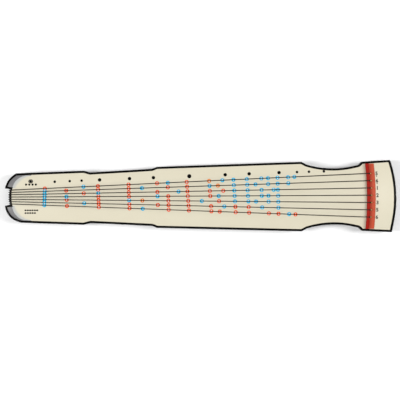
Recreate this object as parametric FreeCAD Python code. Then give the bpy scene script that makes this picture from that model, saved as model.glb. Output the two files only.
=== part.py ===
"""A seven-string zither (guqin): a hollow lacquered box 1.22 m long, with seven strings over a bridge and a
tail nut, wound on two feet, and seven pegs under the head that twist the silk loops the strings hang from.

Units are millimetres. +X runs along the strings to the head, +Y to the side of the position dots, +Z up.
The origin is on the table, under the middle of the instrument.
"""

import FreeCAD
import Part
import math
import os

from FreeCAD import Vector

# Outline of the soundbox as corners: x, distance from the middle line and the corner's radius. The far side,
# with the position dots, and the near side differ a little at the head and at the tail.
HEAD_END = (622.0, 13.0, 400)
HEAD_CORNERS = [(594.2, 113.4, 3), (598.6, 113.2, 3)]
SIDE_CORNERS = [
    (504, 108.2, 10),
    (495, 98.6, 12),
    (407.5, 79.2, 285),
    (332, 100.1, 14),
    (315.5, 108.8, 5),
    (-137, 95.5, 12),
    (-152, 89.4, 12),
    (-345, 79.2, 12),
    (-366, 84.7, 14),
]
TAIL_CORNERS = [
    [(-578, 77.5, 15), (-603, 58.0, 56)],
    [(-562, 77.0, 15), (-606, 63.0, 56)],
]
# One half of the notch between the tail corners. The notch lies a little to the far side, as the strings do.
NOTCH = [
    (-612.3, 27.0, 1),
    (-595.9, 24.4, 0.6),
]
NOTCH_END = (-601.4, 0, 106)
NOTCH_SHIFT = 3.6

# Heights above the table
BODY_BOTTOM = 32.0
BOTTOM_THICKNESS = 10.0
SEAM = BODY_BOTTOM + BOTTOM_THICKNESS
CROWN_SHOULDER_X = 315.5
CROWN_SHOULDER = 84.0
CROWN_TAIL = 80.0
CROWN_HEAD = 78.0
ARCH_RADIUS = 520.0
BODY_HALF_LENGTH = 612.0
BEYOND = 20.0

# Hollow of the top board
WALL = 16.0
TOP_THICKNESS = 11.0
HOLLOW_X = (-545.0, 465.0)
RIDGE_DROP = 8.0
RIDGE_OVERHANG = 12.0

# Sound holes in the bottom board: centre x, length, width
LARGE_SOUND_HOLE = (105.0, 206.0, 26.0)
SMALL_SOUND_HOLE = (-390.0, 108.0, 26.0)
FRAME_WIDTH = 5.0
FRAME_DEPTH = 3.0

# Bridge and the strip beside it, both bowed in plan and arched like the board
BOW_RADIUS = 1120.0
BRIDGE_TAIL_SIDE = 519.3
BRIDGE_HEAD_SIDE = 529.5
BRIDGE_CROWN_X = 525.6
BRIDGE_HEIGHT = 15.0
STRIP_END = 546.7
STRIP_PROUD = 2.2
INLAY_DEPTH = 3.0
BRIDGE_HALF_LENGTH = 102.0

# Strings, from the thickest, on the side of the position dots
STRINGS = 7
STRING_RADIUS = [1.4, 1.37, 1.34, 1.31, 1.28, 1.25, 1.25]
BRIDGE_SPACING = 22.7
BRIDGE_SHIFT = 3.0
NUT_SPACING = 7.15
NUT_SHIFT = 3.4
TOUCH = 0.05
SADDLE_GAP = 0.2

# Tail nut and the gum under it, bowed outwards like the outline between the tail corners
NUT_X = -596.0
NUT_EDGE = -598.7
NUT_BOW_RADIUS = NOTCH_END[2]
NUT_HALF_WIDTH = 23.2
NUT_THICKNESS = 4.8
NUT_PROUD = 1.6
NUT_DEPTH = 22.0
NUT_ROUND = 3.0
GUM_LENGTH = 16.0
GUM_BOTTOM = 29.2

# Tail corners
RIM = 6.0
CORNER_EDGE = [(-589.5, 23.0), (-578.5, 52.0), (-543.0, 70.5)]
CORNER_LIP = [(-580.0, 23.0), (-565.5, 47.5), (-530.0, 67.0)]
CORNER_DEPTH = 3.0
CORNER_PROUD = 1.4
LIP_PROUD = 0.3

# Pegs and the pool they hang in
HOLE_X = 534.2
HOLE_RADIUS = 2.4
POOL_X = (516.7, 551.7)
POOL_HALF_LENGTH = 84.0
PLATE_BOTTOM = 46.0
PLATE_TOP = 52.0
PEG_GAP = 0.2
PEG_NECK = 5.7
PEG_PROFILE = [
    (0.0, PLATE_BOTTOM - PEG_GAP),
    (7.6, PLATE_BOTTOM - PEG_GAP),
    (8.4, 45.0),
    (8.4, 43.2),
    (6.6, 41.2),
    (PEG_NECK, 39.6),
    (PEG_NECK, 31.6),
    (6.4, 30.6),
    (8.3, 29.4),
    (8.3, 27.6),
    (7.4, 24.0),
    (5.4, 14.4),
    (5.0, 12.0),
    (6.3, 10.6),
    (6.5, 8.6),
    (4.8, 6.2),
    (0.0, 5.6),
]
PEG_FACETS = 8
PEG_ACROSS_FLATS = 15.6
PEG_BORE_RADIUS = 2.1
PEG_BORE_END = 33.4
PEG_SIDE_HOLE_Z = 35.2
CORD_RADIUS = 1.45
WRAP_RADIUS = 8.0
WRAP_Z = (32.0, 39.2)
KNOT_RADIUS = 2.7
KNOT_BACK = 5.6
KNOT_RISE = 2.0

# Feet and peg guards
FOOT_X = -255.0
FOOT_Y = 42.0
FOOT_NECK = 8.6
FOOT_PROFILE = [
    (0.0, 0.0),
    (12.4, 0.0),
    (13.6, 1.2),
    (13.6, 4.6),
    (12.0, 7.6),
    (10.2, 10.6),
    (10.4, 13.2),
    (12.2, 14.8),
    (12.2, 16.0),
    (FOOT_NECK, 17.0),
    (FOOT_NECK, 30.0),
    (11.4, 31.0),
    (11.4, 32.0),
    (0.0, 32.0),
]
FOOT_ACROSS_FLATS = 26.2
TENON = 13.0
TENON_HEIGHT = 9.6
SOCKET = 27.0
FOOT_WRAP_RADIUS = 13.2
FOOT_WRAP_Z = (17.2, 29.8)
FOOT_TANGENT = 11.4
FIRST_FOOT_STRING_Z = 28.3
FOOT_STRING_STEP = 3.1
FAR_FOOT_STRINGS = 4

GUARD_X = 534.2
GUARD_Y = 91.0
GUARD_WIDTH = 13.0
GUARD_HALF_TOP = 24.0
GUARD_HALF_WAIST = 17.0
GUARD_HALF_FOOT = 21.0
GUARD_WAIST_Z = 15.0

# Sound posts: x and width
ROUND_POST = (273.0, 14.0)
SQUARE_POST = (-92.0, 14.0)

# Position dots: the share of the string from the bridge, and the dot's radius
DOT_SHARES = [1 / 8, 1 / 6, 1 / 5, 1 / 4, 1 / 3, 2 / 5, 1 / 2, 3 / 5, 2 / 3, 3 / 4, 4 / 5, 5 / 6, 7 / 8]
SMALL_DOT = 4.1
MEDIUM_DOT = 5.5
LARGE_DOT = 6.5
DOT_LINE = [(-455.0, 50.6), (245.0, 75.4), (385.0, 78.5)]
DOT_DEPTH = 1.2
DOT_PROUD = 0.1

# Note labels: for each string, its stopped notes as semitones above the open string
FIRST_NOTE = 1.76
LAST_NOTE = 27.33
RED_NOTES = [
    [FIRST_NOTE, 5, 7, 9, 12, 14],
    [3, 5, 7, 10, 12, 15],
    [4, 7, 9, 12, 14, 16],
    [5, 7, 10, 12, 14],
    [3, 5, 8, 10, 12, 15],
    [5, 7, 9, 10, 12, 14, 17, 19],
    [3, 5, 7, 10, 12, 14, 15, 17, 19, 22, 24, LAST_NOTE],
]
BLUE_NOTES = [
    [4, 10, 16, 17, 19, 21, 22, 24, 26, LAST_NOTE],
    [FIRST_NOTE, 8, 14, 17, 19, 20, 22, 24, 26],
    [FIRST_NOTE, 5, 11, 17, 19, 21, 23, 24],
    [FIRST_NOTE, 3, 9, 15, 17, 19, 21, 22, 24],
    [FIRST_NOTE, 7, 13, 17, 19, 20, 22, 24],
    [FIRST_NOTE, 4, 16, 21, 24],
    [FIRST_NOTE, 8, 26],
]
# Some labels lie a little off the even-tempered place: note and how far, in semitones
LABEL_NUDGE = {3: -0.03, 5: -0.1, 7: -0.02, 8: -0.04, 9: 0.17, 10: 0.07, 12: -0.15, 13: 0.2, 14: 0.14,
               15: 0.08, 16: -0.35, 17: 0.02, 19: -0.17, 21: -0.07, 22: 0.04, 24: -0.22, 26: -0.08}
LABEL_RADIUS = 6.4
LABEL_THICKNESS = 0.3
LABEL_GAP = 0.06
# Labels for one note lie on a line that slants a little from string to string: up to which note, and how much
LABEL_SLANTS = [(2, -0.3), (11, 0.45), (19, 1.1), (30, 0.45)]


# ---------------------------------------------------------------- shape helpers


def rounded_wire(corners, z):
    """Closed wire through the corners (x, y, radius) at height z, each an arc tangent to its two sides."""
    stops = []
    count = len(corners)
    for i, (x, y, radius) in enumerate(corners):
        here = Vector(x, y, z)
        before = Vector(*corners[i - 1][:2], z)
        after = Vector(*corners[(i + 1) % count][:2], z)
        back = (before - here).normalize()
        on = (after - here).normalize()
        half = back.getAngle(on) / 2
        reach = radius / math.tan(half)
        middle = here + (back + on).normalize() * (radius / math.sin(half) - radius)
        stops.append((here + back * reach, middle, here + on * reach))
    edges = []
    for i, (start, middle, end) in enumerate(stops):
        edges.append(Part.Arc(start, middle, end).toShape())
        edges.append(Part.LineSegment(end, stops[(i + 1) % count][0]).toShape())
    return Part.Wire(edges)


def outline():
    """The soundbox's outline as corners, all the way round."""
    far, near = [[HEAD_CORNERS[k]] + SIDE_CORNERS + TAIL_CORNERS[k] for k in (0, 1)]
    notch = NOTCH + [NOTCH_END] + [(x, -y, radius) for x, y, radius in reversed(NOTCH)]
    notch = [(x, y + NOTCH_SHIFT, radius) for x, y, radius in notch]
    return [HEAD_END] + far + notch + [(x, -y, radius) for x, y, radius in reversed(near)]


def prism(wire, height):
    return Part.Face(wire).extrude(Vector(0, 0, height))


def block(x0, x1, y0, y1, z0, z1):
    return Part.makeBox(x1 - x0, y1 - y0, z1 - z0, Vector(x0, y0, z0))


def turned(profile, x, y):
    """Solid of revolution about the vertical through (x, y), from (radius, z) points."""
    wire = Part.makePolygon([Vector(r, 0, z) for r, z in profile + profile[:1]])
    solid = Part.Face(wire).revolve(Vector(0, 0, 0), Vector(0, 0, 1), 360)
    solid.translate(Vector(x, y, 0))
    return solid


def faceted(solid, x, y, across, facets, z0, z1):
    """The solid cut to an upright regular prism, as a turned piece with flats planed on it."""
    corner = across / 2 / math.cos(math.pi / facets)
    angles = [2 * math.pi * (k + 0.5) / facets for k in range(facets + 1)]
    ring = [Vector(x + corner * math.cos(a), y + corner * math.sin(a), z0) for a in angles]
    return solid.common(prism(Part.makePolygon(ring), z1 - z0))


def slot(centre_x, length, width, z0, z1):
    """Upright slot with round ends, along X."""
    half = length / 2
    corners = [
        (centre_x - half, -width / 2, width / 2 - 0.01),
        (centre_x + half, -width / 2, width / 2 - 0.01),
        (centre_x + half, width / 2, width / 2 - 0.01),
        (centre_x - half, width / 2, width / 2 - 0.01),
    ]
    return prism(rounded_wire(corners, z0), z1 - z0)


def pipe(points, radii, radius):
    """Round tube along straight runs joined by tangent arcs. One radius for each inner point."""
    edges = []
    start = points[0]
    for i in range(1, len(points) - 1):
        back = (points[i - 1] - points[i]).normalize()
        on = (points[i + 1] - points[i]).normalize()
        half = back.getAngle(on) / 2
        reach = radii[i - 1] / math.tan(half)
        rise = radii[i - 1] / math.sin(half) - radii[i - 1]
        arc = [points[i] + back * reach, points[i] + (back + on).normalize() * rise, points[i] + on * reach]
        edges.append(Part.LineSegment(start, arc[0]).toShape())
        edges.append(Part.Arc(*arc).toShape())
        start = arc[2]
    edges.append(Part.LineSegment(start, points[-1]).toShape())
    section = Part.Wire(Part.makeCircle(radius, points[0], points[1] - points[0]))
    return Part.Wire(edges).makePipeShell([section], True, False)


# ---------------------------------------------------------------- the arched top


def crown(x):
    """Height of the board's crest at x."""
    if x < CROWN_SHOULDER_X:
        share = (CROWN_SHOULDER_X - x) / (CROWN_SHOULDER_X + BODY_HALF_LENGTH)
        return CROWN_SHOULDER + (CROWN_TAIL - CROWN_SHOULDER) * share
    share = (x - CROWN_SHOULDER_X) / (BODY_HALF_LENGTH - CROWN_SHOULDER_X)
    return CROWN_SHOULDER + (CROWN_HEAD - CROWN_SHOULDER) * share


def arch_drop(y):
    return ARCH_RADIUS - math.sqrt(ARCH_RADIUS**2 - y**2)


def top_height(x, y):
    return crown(x) - arch_drop(y)


def arch_segment(x0, x1, lift):
    """Everything under the arched surface, raised by lift, between two places on the crest."""
    half = 130.0
    z0 = crown(x0) + lift
    low = BODY_BOTTOM - BEYOND
    edge = z0 - arch_drop(half)
    arc = Part.Arc(Vector(x0, -half, edge), Vector(x0, 0, z0), Vector(x0, half, edge)).toShape()
    legs = Part.makePolygon([
        Vector(x0, half, edge),
        Vector(x0, half, low),
        Vector(x0, -half, low),
        Vector(x0, -half, edge),
    ])
    face = Part.Face(Part.Wire([arc] + legs.Edges))
    return face.extrude(Vector(x1 - x0, 0, crown(x1) - crown(x0)))


def under_arch(lift=0.0):
    tail = arch_segment(-BODY_HALF_LENGTH - BEYOND, CROWN_SHOULDER_X, lift)
    head = arch_segment(CROWN_SHOULDER_X, BODY_HALF_LENGTH + BEYOND, lift)
    return tail.fuse(head)


def on_surface(solid, x, y):
    """A piece made about the origin, moved to the board's surface at (x, y) and leant square to it."""
    lean_x = (crown(x + 1) - crown(x - 1)) / 2
    lean_y = -y / math.sqrt(ARCH_RADIUS**2 - y**2)
    normal = Vector(-lean_x, -lean_y, 1)
    turn = FreeCAD.Rotation(Vector(0, 0, 1), normal)
    place = FreeCAD.Placement(Vector(x, y, top_height(x, y)), turn)
    solid.Placement = place.multiply(solid.Placement)
    return solid


# ---------------------------------------------------------------- where the strings go


def bow(y):
    """How far the bridge line lies back towards the tail at y."""
    return -(BOW_RADIUS - math.sqrt(BOW_RADIUS**2 - y**2))


def bridge_y(i):
    return BRIDGE_SHIFT + BRIDGE_SPACING * ((STRINGS - 1) / 2 - i)


def nut_y(i):
    return NUT_SHIFT + NUT_SPACING * ((STRINGS - 1) / 2 - i)


def hole(i):
    """The (x, y) of string hole i, which is also peg i's axis."""
    y = bridge_y(i)
    return HOLE_X + bow(y), y


def bridge_top(y):
    return crown(BRIDGE_CROWN_X) + BRIDGE_HEIGHT - arch_drop(y)


def string_length():
    return BRIDGE_CROWN_X - NUT_X


def nut_edge(y):
    """The outermost x of the tail nut at y."""
    return NUT_EDGE + NUT_BOW_RADIUS - math.sqrt(NUT_BOW_RADIUS**2 - (y - NOTCH_SHIFT) ** 2)


def string_y(i, x):
    """Where string i passes over x."""
    share = (BRIDGE_CROWN_X - x) / string_length()
    return bridge_y(i) + (nut_y(i) - bridge_y(i)) * share


def foot_side(i):
    return 1 if i < FAR_FOOT_STRINGS else -1


def string_route(i):
    """The string's centre line from its knot to its foot, and the radius of each bend."""
    r = STRING_RADIUS[i]
    yb, yn = bridge_y(i), nut_y(i)
    edge = nut_edge(yn)
    outside = edge - r - 0.5
    nut_top = crown(edge + NUT_ROUND) + NUT_PROUD - arch_drop(yn)
    side = foot_side(i)
    order = i if side > 0 else i - FAR_FOOT_STRINGS
    foot_z = FIRST_FOOT_STRING_Z - FOOT_STRING_STEP * order
    from_foot = math.sqrt((FOOT_WRAP_RADIUS + 2 * TOUCH) ** 2 - (FOOT_TANGENT - r) ** 2)
    at_knot = Vector(hole(i)[0] - KNOT_BACK - KNOT_RADIUS + 0.1, yb, bridge_top(yb) + r + SADDLE_GAP)
    over_nut = Vector(outside, yn, nut_top + r + TOUCH)
    under_gum = Vector(outside, yn, GUM_BOTTOM - r - TOUCH)
    at_foot = Vector(FOOT_X - from_foot, side * (FOOT_Y - FOOT_TANGENT), foot_z)
    bend = NUT_ROUND + 0.5 + r
    return [at_knot, over_nut, under_gum, at_foot], [bend, bend]


# ---------------------------------------------------------------- soundbox


def hollow():
    """The space inside the top board, with two ridges left hanging over the sound holes."""
    inner = Part.Face(rounded_wire(outline(), SEAM)).makeOffset2D(-WALL)
    space = inner.extrude(Vector(0, 0, CROWN_SHOULDER - SEAM)).common(under_arch(-TOP_THICKNESS))
    space = space.common(block(*HOLLOW_X, -130, 130, SEAM - 1, CROWN_SHOULDER))
    for centre_x, length, width in (LARGE_SOUND_HOLE, SMALL_SOUND_HOLE):
        half_length, half_width = length / 2 + RIDGE_OVERHANG, width / 2 + RIDGE_OVERHANG
        ceiling = crown(centre_x) - TOP_THICKNESS - RIDGE_DROP
        ridge = block(centre_x - half_length, centre_x + half_length, -half_width, half_width,
                      ceiling, CROWN_SHOULDER)
        space = space.cut(ridge)
    return space


def top_board(inlays):
    board = prism(rounded_wire(outline(), SEAM), CROWN_SHOULDER).common(under_arch())
    board = board.cut(hollow())
    board = board.cut(block(*POOL_X, -POOL_HALF_LENGTH, POOL_HALF_LENGTH, SEAM - 1, PLATE_TOP))
    for piece in inlays:
        board = board.cut(piece)
    for i in range(STRINGS):
        x, y = hole(i)
        board = board.cut(Part.makeCylinder(HOLE_RADIUS, 60, Vector(x, y, SEAM)))
    return board


def bottom_board(inlays):
    board = prism(rounded_wire(outline(), BODY_BOTTOM), BOTTOM_THICKNESS)
    board = board.cut(block(*POOL_X, -POOL_HALF_LENGTH, POOL_HALF_LENGTH, 0, SEAM + 1))
    for centre_x, length, width in (LARGE_SOUND_HOLE, SMALL_SOUND_HOLE):
        board = board.cut(slot(centre_x, length, width, BODY_BOTTOM - 1, SEAM + 1))
    for piece in inlays:
        board = board.cut(piece)
    return board


def sound_hole_frame(sound_hole):
    centre_x, length, width = sound_hole
    top = BODY_BOTTOM + FRAME_DEPTH
    outer = slot(centre_x, length + 2 * FRAME_WIDTH, width + 2 * FRAME_WIDTH, BODY_BOTTOM, top)
    return outer.cut(slot(centre_x, length, width, BODY_BOTTOM - 1, top + 1))


def round_post():
    x, width = ROUND_POST
    return Part.makeCylinder(width / 2, 60, Vector(x, 0, SEAM)).common(under_arch(-TOP_THICKNESS))


def square_post():
    x, width = SQUARE_POST
    half = width / 2
    return block(x - half, x + half, -half, half, SEAM, 100).common(under_arch(-TOP_THICKNESS))


# ---------------------------------------------------------------- bridge end


def bowed(profile, half_length):
    """The (x, z) profile swept on the bridge line, which bows back and drops with the board's arch."""
    bend = Vector(1 / BOW_RADIUS, 0, 1 / ARCH_RADIUS)
    radius = 1 / bend.Length
    outward = Vector(bend).normalize()
    origin = Vector(BRIDGE_CROWN_X, 0, crown(BRIDGE_CROWN_X))
    centre = origin - outward * radius
    axis = outward.cross(Vector(0, 1, 0))
    points = [Vector(x, 0, z) for x, z in profile + profile[:1]]
    face = Part.Face(Part.makePolygon(points))
    angle = math.degrees(half_length / radius)
    face.rotate(centre, axis, -angle)
    return face.revolve(centre, axis, 2 * angle)


def bridge():
    base = crown(BRIDGE_CROWN_X)
    tail, head = BRIDGE_TAIL_SIDE, BRIDGE_HEAD_SIDE
    top = base + BRIDGE_HEIGHT
    profile = [
        (tail, base - INLAY_DEPTH),
        (tail, top - 3.0),
        (tail + 0.9, top - 1.2),
        (tail + 2.4, top - 0.3),
        (BRIDGE_CROWN_X, top),
        (BRIDGE_CROWN_X + 1.2, top - 0.4),
        (head - 1.6, top - 1.6),
        (head - 0.6, top - 3.2),
        (head, top - 5.8),
        (head, base - INLAY_DEPTH),
    ]
    return bowed(profile, BRIDGE_HALF_LENGTH)


def bridge_pocket():
    """The groove across the head that the bridge and the strip sit in together."""
    base = crown(BRIDGE_CROWN_X)
    low, high = base - INLAY_DEPTH, base + BRIDGE_HEIGHT
    profile = [(BRIDGE_TAIL_SIDE, low), (BRIDGE_TAIL_SIDE, high), (STRIP_END, high), (STRIP_END, low)]
    return bowed(profile, BRIDGE_HALF_LENGTH)


def string_hole_strip():
    base = crown(BRIDGE_CROWN_X)
    head = BRIDGE_HEAD_SIDE
    top = base + STRIP_PROUD
    profile = [
        (head, base - INLAY_DEPTH),
        (head, top),
        (STRIP_END - 1.2, top),
        (STRIP_END, top - 1.0),
        (STRIP_END, base - INLAY_DEPTH),
    ]
    strip = bowed(profile, BRIDGE_HALF_LENGTH)
    for i in range(STRINGS):
        x, y = hole(i)
        strip = strip.cut(Part.makeCylinder(HOLE_RADIUS, 60, Vector(x, y, SEAM)))
    return strip


def peg_plate():
    plate = block(*POOL_X, -POOL_HALF_LENGTH, POOL_HALF_LENGTH, PLATE_BOTTOM, PLATE_TOP)
    for i in range(STRINGS):
        x, y = hole(i)
        plate = plate.cut(Part.makeCylinder(HOLE_RADIUS, 60, Vector(x, y, BODY_BOTTOM)))
    return plate


def peg(i):
    x, y = hole(i)
    low, high = PEG_PROFILE[-1][1], PEG_PROFILE[0][1]
    solid = faceted(turned(PEG_PROFILE, x, y), x, y, PEG_ACROSS_FLATS, PEG_FACETS, low - 1, high + 1)
    solid = solid.cut(Part.makeCylinder(PEG_BORE_RADIUS, 30, Vector(x, y, PEG_BORE_END)))
    side_hole = Part.makeCylinder(PEG_BORE_RADIUS - 0.4, 20, Vector(x, y, PEG_SIDE_HOLE_Z), Vector(1, 0, 0))
    return solid.cut(side_hole)


def peg_wrap(i):
    """The end of the silk loop, wound on the peg's neck."""
    x, y = hole(i)
    neck = PEG_NECK + TOUCH
    low, high = WRAP_Z
    profile = [
        (neck, low),
        (WRAP_RADIUS - 0.8, low),
        (WRAP_RADIUS, low + 0.8),
        (WRAP_RADIUS, high - 0.8),
        (WRAP_RADIUS - 0.8, high),
        (neck, high),
    ]
    return turned(profile, x, y)


def silk_loop(i):
    """The twisted silk loop, from the string's knot on the bridge, down its hole and into the peg."""
    x, y = hole(i)
    top = bridge_top(y)
    start = Vector(x - KNOT_BACK + KNOT_RADIUS + 0.2, y, top + 0.6)
    points = [start, Vector(x, y, top - 7.5), Vector(x, y, PEG_SIDE_HOLE_Z)]
    return pipe(points, [6.0], CORD_RADIUS)


def string_knot(i):
    """The knot that ties string i to its silk loop, on the bridge's head side."""
    x, y = hole(i)
    top = bridge_top(y)
    knot = Part.makeSphere(KNOT_RADIUS, Vector(x - KNOT_BACK, y, top + KNOT_RISE))
    return knot.cut(silk_loop(i)).cut(string(i))


def peg_guard(side):
    """One of the two carved blocks that guard the pegs and carry the head."""
    half_width = GUARD_WIDTH / 2
    y0 = side * GUARD_Y - half_width
    left = Part.Arc(
        Vector(GUARD_X - GUARD_HALF_TOP, y0, BODY_BOTTOM),
        Vector(GUARD_X - GUARD_HALF_WAIST, y0, GUARD_WAIST_Z),
        Vector(GUARD_X - GUARD_HALF_FOOT, y0, 0),
    )
    right = Part.Arc(
        Vector(GUARD_X + GUARD_HALF_FOOT, y0, 0),
        Vector(GUARD_X + GUARD_HALF_WAIST, y0, GUARD_WAIST_Z),
        Vector(GUARD_X + GUARD_HALF_TOP, y0, BODY_BOTTOM),
    )
    foot = Part.LineSegment(left.EndPoint, right.StartPoint)
    top = Part.LineSegment(right.EndPoint, left.StartPoint)
    wire = Part.Wire([shape.toShape() for shape in (left, foot, right, top)])
    return Part.Face(wire).extrude(Vector(0, GUARD_WIDTH, 0))


# ---------------------------------------------------------------- tail


def tail_seat(length, z0, z1):
    """The slot that a tail strip sits in, open at the notch."""
    return block(-640, NUT_X + length, NOTCH_SHIFT - NUT_HALF_WIDTH, NOTCH_SHIFT + NUT_HALF_WIDTH, z0, z1)


def tail_strip(length, z0, z1):
    """A block between the tail corners, its outer face bowed with the outline."""
    return prism(rounded_wire(outline(), z0), z1 - z0).common(tail_seat(length, z0, z1))


def outer_lip(piece, z0, z1):
    """The piece's outer edges that lie between two heights and run across the tail."""
    boxes = [(edge, edge.BoundBox) for edge in piece.Edges]
    across = [(edge, box) for edge, box in boxes if box.XMax < NUT_X + 1.5 and box.YLength > 10]
    return [edge for edge, box in across if z0 < box.ZMin <= box.ZMax < z1]


def tail_nut():
    top = crown(NUT_X) + NUT_PROUD
    nut = tail_strip(NUT_THICKNESS, crown(NUT_X) - NUT_DEPTH, top + 10).common(under_arch(NUT_PROUD))
    return nut.makeFillet(NUT_ROUND, outer_lip(nut, top - 3, top + 1))


def tail_gum():
    gum = tail_strip(GUM_LENGTH, GUM_BOTTOM, SEAM)
    return gum.makeFillet(NUT_ROUND, outer_lip(gum, GUM_BOTTOM - 1, GUM_BOTTOM + 1))


def crescent(side, arc_points, proud):
    """The part of a tail corner between the board's rim and an arc, up to a height above the arch."""
    inner = Part.Face(rounded_wire(outline(), SEAM)).makeOffset2D(-RIM).extrude(Vector(0, 0, 60))
    a, b, c = [Vector(x, side * y, SEAM) for x, y in arc_points]
    arc = Part.Arc(a, b, c).toShape()
    far = [c, Vector(c.x, side * 100, SEAM), Vector(-640, side * 100, SEAM), Vector(-640, a.y, SEAM), a]
    plan = Part.Face(Part.Wire([arc] + Part.makePolygon(far).Edges))
    first = NOTCH_SHIFT + side * NOTCH[0][1]
    beside_notch = block(-640, -500, min(first, side * 100), max(first, side * 100), SEAM, 100)
    piece = plan.extrude(Vector(0, 0, 60)).common(inner).common(beside_notch)
    piece = piece.common(under_arch(proud)).cut(under_arch(-CORNER_DEPTH))
    return max(piece.Solids, key=lambda solid: solid.Volume)


def tail_corner(side):
    """Raised hardwood crescent with a low lip on its inner side, let into one corner of the tail."""
    raised = crescent(side, CORNER_EDGE, CORNER_PROUD)
    lip = crescent(side, CORNER_LIP, LIP_PROUD)
    return raised.fuse(lip).removeSplitter()


# ---------------------------------------------------------------- feet and strings


def foot(side):
    y = side * FOOT_Y
    low, high = FOOT_PROFILE[0][1], FOOT_PROFILE[-1][1]
    solid = faceted(turned(FOOT_PROFILE, FOOT_X, y), FOOT_X, y, FOOT_ACROSS_FLATS, 8, low - 1, high + 1)
    half = TENON / 2
    tenon = block(FOOT_X - half, FOOT_X + half, y - half, y + half, high - 1, high + TENON_HEIGHT)
    return solid.fuse(tenon).removeSplitter()


def foot_socket(side):
    y = side * FOOT_Y
    half, hole_half = SOCKET / 2, TENON / 2 + 0.02
    plate = block(FOOT_X - half, FOOT_X + half, y - half, y + half, BODY_BOTTOM, SEAM)
    return plate.cut(block(FOOT_X - hole_half, FOOT_X + hole_half, y - hole_half, y + hole_half, 0, 60))


def foot_wrap(side):
    """The spare ends of the strings, wound on one foot."""
    neck = FOOT_NECK + TOUCH
    low, high = FOOT_WRAP_Z
    profile = [
        (neck, low),
        (FOOT_WRAP_RADIUS - 1.6, low),
        (FOOT_WRAP_RADIUS, low + 1.6),
        (FOOT_WRAP_RADIUS, high - 1.6),
        (FOOT_WRAP_RADIUS - 1.6, high),
        (neck, high),
    ]
    return turned(profile, FOOT_X, side * FOOT_Y)


def string(i):
    points, radii = string_route(i)
    return pipe(points, radii, STRING_RADIUS[i])


# ---------------------------------------------------------------- marks on the board


def dot_radius(number):
    """Dot 7 marks the octave and is the largest; the three at each end are the smallest."""
    if number == 7:
        return LARGE_DOT
    return SMALL_DOT if number <= 3 or number >= 11 else MEDIUM_DOT


def dot_y(x):
    """How far the row of dots lies from the middle line at x. The row bends a little near the head."""
    low, bend, high = DOT_LINE
    (x0, y0), (x1, y1) = (low, bend) if x < bend[0] else (bend, high)
    return y0 + (y1 - y0) * (x - x0) / (x1 - x0)


def position_dots():
    dots = []
    for number, share in enumerate(DOT_SHARES, start=1):
        x = BRIDGE_CROWN_X - share * string_length()
        disc = Part.makeCylinder(dot_radius(number), DOT_DEPTH + DOT_PROUD, Vector(0, 0, -DOT_DEPTH))
        disc.rotate(Vector(0, 0, 0), Vector(0, 0, 1), 45)
        dots.append(on_surface(disc, x, dot_y(x)))
    return dots


def label_place(i, semitones):
    """Where the label for a stopped note lies under string i."""
    middle = (STRINGS - 1) / 2
    raised = semitones + LABEL_NUDGE.get(semitones, 0)
    column = BRIDGE_CROWN_X - string_length() * 2 ** (-raised / 12)
    slant = next(slant for last, slant in LABEL_SLANTS if semitones <= last)
    x = column + slant * (i - middle)
    return x, string_y(i, x)


def label_discs():
    """Thin discs under the strings, as {colour: solids}. Where two strings lie close, their discs overlap."""
    discs = {"red": [], "blue": []}
    for i in range(STRINGS):
        lift = LABEL_GAP + (i % 2) * (LABEL_THICKNESS + LABEL_GAP)
        notes = [("red", n) for n in RED_NOTES[i]] + [("blue", n) for n in BLUE_NOTES[i]]
        for colour, semitones in notes:
            disc = Part.makeCylinder(LABEL_RADIUS, LABEL_THICKNESS, Vector(0, 0, lift))
            discs[colour].append(on_surface(disc, *label_place(i, semitones)))
    return discs


# ---------------------------------------------------------------- assembly


def export(name, *shapes):
    solids = [solid for shape in shapes for solid in shape.Solids]
    for solid in solids:
        if not solid.isValid() or solid.Volume <= 0:
            raise ValueError(f"{name} has a bad solid")
    whole = solids[0] if len(solids) == 1 else Part.makeCompound(solids)
    whole.exportStep(f"parts/{name}.step")


def main():
    os.makedirs("parts", exist_ok=True)
    nut_seat = tail_seat(NUT_THICKNESS, crown(NUT_X) - NUT_DEPTH, 100)
    gum_seat = tail_seat(GUM_LENGTH, 0, SEAM + 1)
    corners = {side: tail_corner(side) for side in (1, -1)}
    dots = position_dots()
    frames = [sound_hole_frame(h) for h in (LARGE_SOUND_HOLE, SMALL_SOUND_HOLE)]
    sockets = {side: foot_socket(side) for side in (1, -1)}
    socket_seats = [block(FOOT_X - SOCKET / 2, FOOT_X + SOCKET / 2, side * FOOT_Y - SOCKET / 2,
                          side * FOOT_Y + SOCKET / 2, 0, 60) for side in (1, -1)]

    export("top_board", top_board([bridge_pocket(), nut_seat, *corners.values(), *dots]))
    export("bottom_board", bottom_board([*frames, gum_seat, *socket_seats]))
    export("bridge", bridge())
    export("string_hole_strip", string_hole_strip())
    export("tail_nut", tail_nut())
    export("tail_gum", tail_gum())
    export("large_sound_hole_frame", frames[0])
    export("small_sound_hole_frame", frames[1])
    export("round_sound_post", round_post())
    export("square_sound_post", square_post())
    export("peg_plate", peg_plate())
    for name, side in (("far", 1), ("near", -1)):
        export(f"tail_corner_{name}", corners[side])
        export(f"foot_{name}", foot(side))
        export(f"foot_socket_{name}", sockets[side])
        export(f"string_ends_{name}", foot_wrap(side))
        export(f"peg_guard_{name}", peg_guard(side))
    for i in range(STRINGS):
        export(f"string_{i + 1}", string(i))
        export(f"silk_loop_{i + 1}", silk_loop(i))
        export(f"peg_{i + 1}", peg(i))
        export(f"peg_wrap_{i + 1}", peg_wrap(i))
    export("string_knots", *[string_knot(i) for i in range(STRINGS)])
    export("position_dots", *dots)
    discs = label_discs()
    export("note_labels_red", *discs["red"])
    export("note_labels_blue", *discs["blue"])


main()
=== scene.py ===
"""The looks of a seven-string zither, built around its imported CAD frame. Lengths are in millimetres."""

import bmesh
import bpy
import math

from mathutils import Matrix, Vector


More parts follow.
